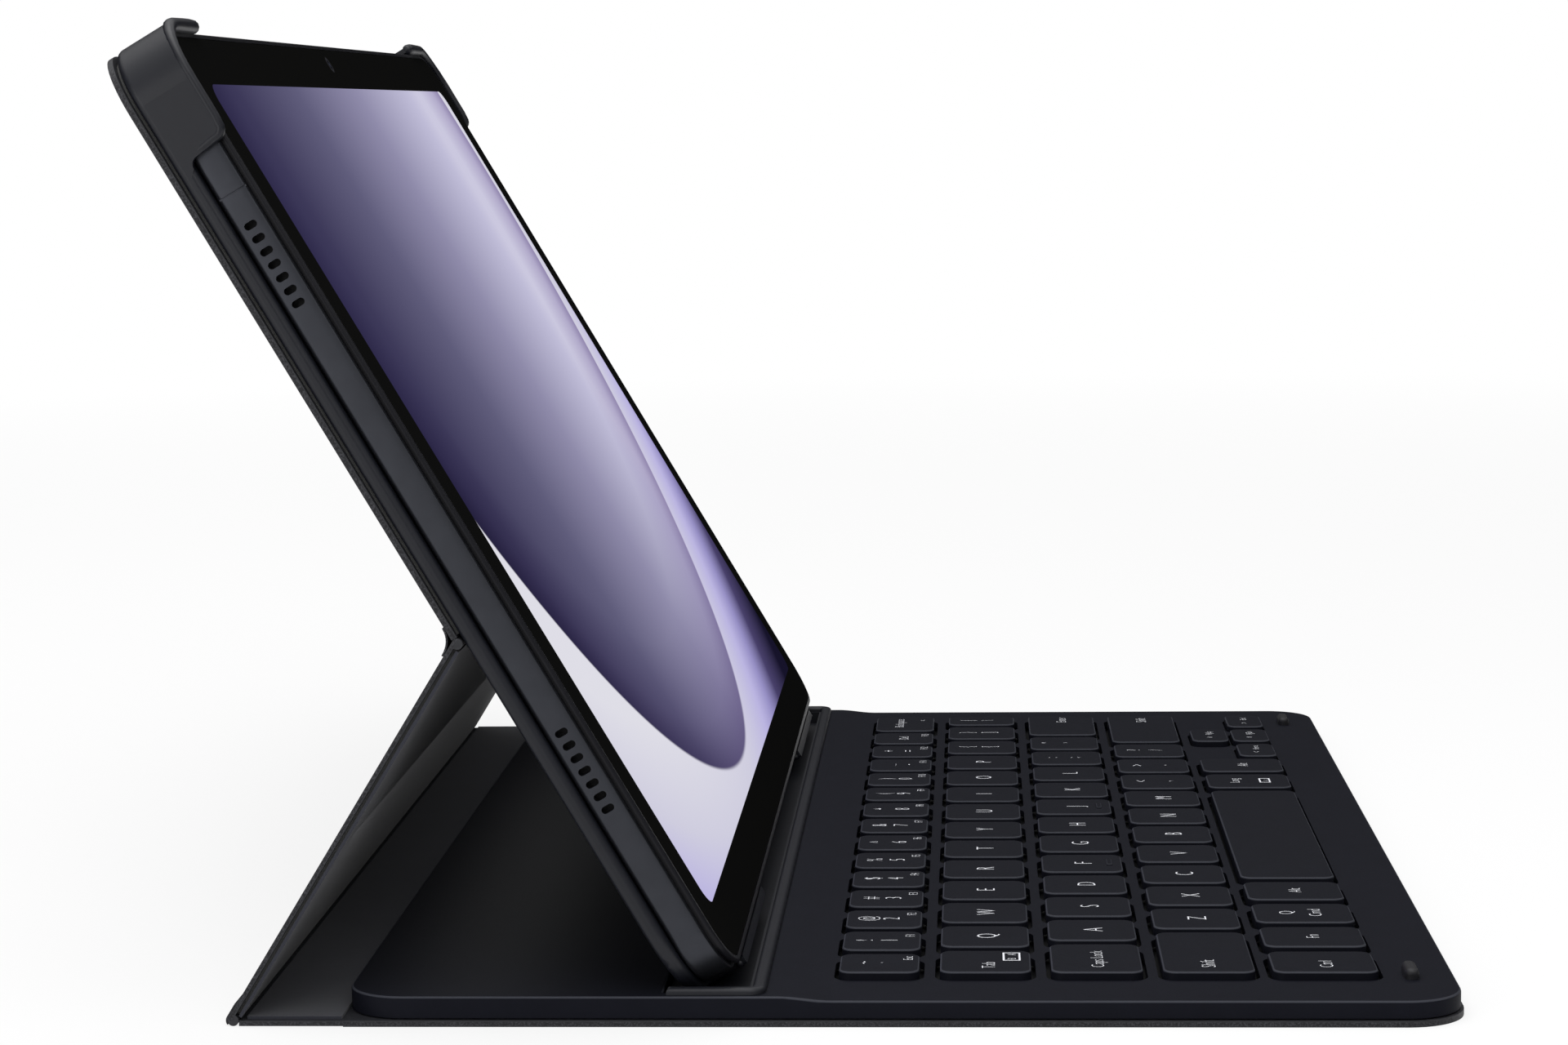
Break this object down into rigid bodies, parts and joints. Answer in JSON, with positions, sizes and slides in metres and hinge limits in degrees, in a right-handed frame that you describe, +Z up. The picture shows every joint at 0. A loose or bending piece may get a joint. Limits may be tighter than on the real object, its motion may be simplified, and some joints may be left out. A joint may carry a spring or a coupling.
{
  "type": "tablet keyboard case",
  "caption": "Folding tablet case with a keyboard half, a spine, a kickstand flap and a tray whose foot stands in a groove behind the keys, with its tablet in place.",
  "frame": {"origin": "on the table, under the middle of the keyboard deck", "axes": "+X to the user's right along the folds, +Y away from the user towards the spine, +Z up"},
  "size_m": [0.2602, 0.2052, 0.1537],
  "materials": {
    "cover_leather": "fine grain, matte",
    "lining_cloth": "brushed microfibre",
    "deck_plastic": "fine moulded texture",
    "key_plastic": "fine moulded texture",
    "groove_plastic": "satin",
    "tray_plastic": "satin",
    "steel": "brushed",
    "membrane_film": "printed film",
    "dome_rubber": "matte",
    "bumper_rubber": "matte",
    "circuit_board": "solder mask",
    "lead_film": "film",
    "stiff_board": "grey board",
    "contact_gold": "plated",
    "ring_metal": "satin",
    "tablet_metal": "bead blasted",
    "bezel_black": "satin",
    "screen_glass": "polished, printed black border",
    "display": "lit picture",
    "speaker_steel": "fine mesh",
    "lens_glass": "polished",
    "battery_wrap": "wrapped"
  },
  "bodies": {
    "keyboard": {"base_cover": "cover_leather", "bottom_plate": "steel", "deck_case": "deck_plastic", "groove_liner": "groove_plastic", "groove_magnets": "steel", "key_plate": "steel", "key_membrane": "membrane_film", "rubber_domes": "dome_rubber", "controller_board": "circuit_board", "keyboard_lead": "lead_film", "front_bumpers": "bumper_rubber"},
    "spine": {"spine_cover": "cover_leather", "spine_lining": "lining_cloth"},
    "kickstand": {"kickstand_cover": "cover_leather", "kickstand_board": "stiff_board", "kickstand_lining": "lining_cloth"},
    "tray": {"tray_shell": "tray_plastic", "tray_lining": "lining_cloth", "tray_magnets": "steel", "contact_strip": "contact_gold", "back_board": "stiff_board", "back_cover": "cover_leather", "camera_ring": "ring_metal"},
    "tablet": {"tablet_housing": "tablet_metal", "bezel_frame": "bezel_black", "front_glass": "screen_glass", "display_panel": "display", "speaker_mesh": "speaker_steel", "front_camera": "lens_glass", "rear_camera": "lens_glass", "tablet_battery": "battery_wrap", "main_board": "circuit_board"},
    "power_button": {"power_button": "tablet_metal"},
    "volume_rocker": {"volume_rocker": "tablet_metal"},
    "key_esc": {"key_esc": "key_plastic"},
    "keys_number_row": {"keys_number_row": "key_plastic"},
    "key_backspace": {"key_backspace": "key_plastic"},
    "key_tab": {"key_tab": "key_plastic"},
    "keys_top_row": {"keys_top_row": "key_plastic"},
    "key_backslash": {"key_backslash": "key_plastic"},
    "key_caps_lock": {"key_caps_lock": "key_plastic"},
    "keys_home_row": {"keys_home_row": "key_plastic"},
    "key_enter": {"key_enter": "key_plastic"},
    "key_shift_left": {"key_shift_left": "key_plastic"},
    "keys_bottom_row": {"keys_bottom_row": "key_plastic"},
    "key_shift_right": {"key_shift_right": "key_plastic"},
    "key_ctrl": {"key_ctrl": "key_plastic"},
    "key_fn": {"key_fn": "key_plastic"},
    "key_command": {"key_command": "key_plastic"},
    "key_alt_left": {"key_alt_left": "key_plastic"},
    "key_space": {"key_space": "key_plastic"},
    "key_language": {"key_language": "key_plastic"},
    "key_alt_right": {"key_alt_right": "key_plastic"},
    "key_arrow_left": {"key_arrow_left": "key_plastic"},
    "key_arrow_up": {"key_arrow_up": "key_plastic"},
    "key_arrow_down": {"key_arrow_down": "key_plastic"},
    "key_arrow_right": {"key_arrow_right": "key_plastic"}
  },
  "joints": [
    {"name": "spine_fold", "type": "hinge", "parent": "keyboard", "child": "spine", "pos_m": [0, 0.08575, -0.00002], "axis": [1, 0, 0], "range_deg": [-180, 0]},
    {"name": "kickstand_fold", "type": "hinge", "parent": "spine", "child": "kickstand", "pos_m": [0, 0.1028, 0.00085], "axis": [1, 0, 0], "range_deg": [-121.72, 0]},
    {"name": "tray_fold", "type": "hinge", "parent": "kickstand", "child": "tray", "pos_m": [0, 0.06669, 0.05927], "axis": [1, 0, 0], "range_deg": [0, 62.02]},
    {"name": "tablet_lift", "type": "slide", "parent": "tray", "child": "tablet", "axis": [0, -0.8634, 0.5045], "range_m": [0, 0.06]},
    {"name": "power_press", "type": "slide", "parent": "tablet", "child": "power_button", "axis": [0, 0.5045, 0.8634], "range_m": [-0.0003, 0], "stiffness_N_per_m": 1500},
    {"name": "volume_press", "type": "slide", "parent": "tablet", "child": "volume_rocker", "axis": [0, 0.5045, 0.8634], "range_m": [-0.0003, 0], "stiffness_N_per_m": 1500},
    {"name": "press_esc", "type": "slide", "parent": "keyboard", "child": "key_esc", "axis": [0, 0, 1], "range_m": [-0.001, 0], "stiffness_N_per_m": 500},
    {"name": "press_number_row", "type": "slide", "parent": "keyboard", "child": "keys_number_row", "axis": [0, 0, 1], "range_m": [-0.001, 0], "stiffness_N_per_m": 6500},
    {"name": "press_backspace", "type": "slide", "parent": "keyboard", "child": "key_backspace", "axis": [0, 0, 1], "range_m": [-0.001, 0], "stiffness_N_per_m": 500},
    {"name": "press_tab", "type": "slide", "parent": "keyboard", "child": "key_tab", "axis": [0, 0, 1], "range_m": [-0.001, 0], "stiffness_N_per_m": 500},
    {"name": "press_top_row", "type": "slide", "parent": "keyboard", "child": "keys_top_row", "axis": [0, 0, 1], "range_m": [-0.001, 0], "stiffness_N_per_m": 6000},
    {"name": "press_backslash", "type": "slide", "parent": "keyboard", "child": "key_backslash", "axis": [0, 0, 1], "range_m": [-0.001, 0], "stiffness_N_per_m": 500},
    {"name": "press_caps_lock", "type": "slide", "parent": "keyboard", "child": "key_caps_lock", "axis": [0, 0, 1], "range_m": [-0.001, 0], "stiffness_N_per_m": 500},
    {"name": "press_home_row", "type": "slide", "parent": "keyboard", "child": "keys_home_row", "axis": [0, 0, 1], "range_m": [-0.001, 0], "stiffness_N_per_m": 5500},
    {"name": "press_enter", "type": "slide", "parent": "keyboard", "child": "key_enter", "axis": [0, 0, 1], "range_m": [-0.001, 0], "stiffness_N_per_m": 500},
    {"name": "press_shift_left", "type": "slide", "parent": "keyboard", "child": "key_shift_left", "axis": [0, 0, 1], "range_m": [-0.001, 0], "stiffness_N_per_m": 500},
    {"name": "press_bottom_row", "type": "slide", "parent": "keyboard", "child": "keys_bottom_row", "axis": [0, 0, 1], "range_m": [-0.001, 0], "stiffness_N_per_m": 5000},
    {"name": "press_shift_right", "type": "slide", "parent": "keyboard", "child": "key_shift_right", "axis": [0, 0, 1], "range_m": [-0.001, 0], "stiffness_N_per_m": 500},
    {"name": "press_ctrl", "type": "slide", "parent": "keyboard", "child": "key_ctrl", "axis": [0, 0, 1], "range_m": [-0.001, 0], "stiffness_N_per_m": 500},
    {"name": "press_fn", "type": "slide", "parent": "keyboard", "child": "key_fn", "axis": [0, 0, 1], "range_m": [-0.001, 0], "stiffness_N_per_m": 500},
    {"name": "press_command", "type": "slide", "parent": "keyboard", "child": "key_command", "axis": [0, 0, 1], "range_m": [-0.001, 0], "stiffness_N_per_m": 500},
    {"name": "press_alt_left", "type": "slide", "parent": "keyboard", "child": "key_alt_left", "axis": [0, 0, 1], "range_m": [-0.001, 0], "stiffness_N_per_m": 500},
    {"name": "press_space", "type": "slide", "parent": "keyboard", "child": "key_space", "axis": [0, 0, 1], "range_m": [-0.001, 0], "stiffness_N_per_m": 500},
    {"name": "press_language", "type": "slide", "parent": "keyboard", "child": "key_language", "axis": [0, 0, 1], "range_m": [-0.001, 0], "stiffness_N_per_m": 500},
    {"name": "press_alt_right", "type": "slide", "parent": "keyboard", "child": "key_alt_right", "axis": [0, 0, 1], "range_m": [-0.001, 0], "stiffness_N_per_m": 500},
    {"name": "press_arrow_left", "type": "slide", "parent": "keyboard", "child": "key_arrow_left", "axis": [0, 0, 1], "range_m": [-0.001, 0], "stiffness_N_per_m": 500},
    {"name": "press_arrow_up", "type": "slide", "parent": "keyboard", "child": "key_arrow_up", "axis": [0, 0, 1], "range_m": [-0.001, 0], "stiffness_N_per_m": 500},
    {"name": "press_arrow_down", "type": "slide", "parent": "keyboard", "child": "key_arrow_down", "axis": [0, 0, 1], "range_m": [-0.001, 0], "stiffness_N_per_m": 500},
    {"name": "press_arrow_right", "type": "slide", "parent": "keyboard", "child": "key_arrow_right", "axis": [0, 0, 1], "range_m": [-0.001, 0], "stiffness_N_per_m": 500}
  ],
  "couplings": [
    {"joint": "tray_fold", "follows": "kickstand_fold", "ratio": -0.50953}
  ]
}
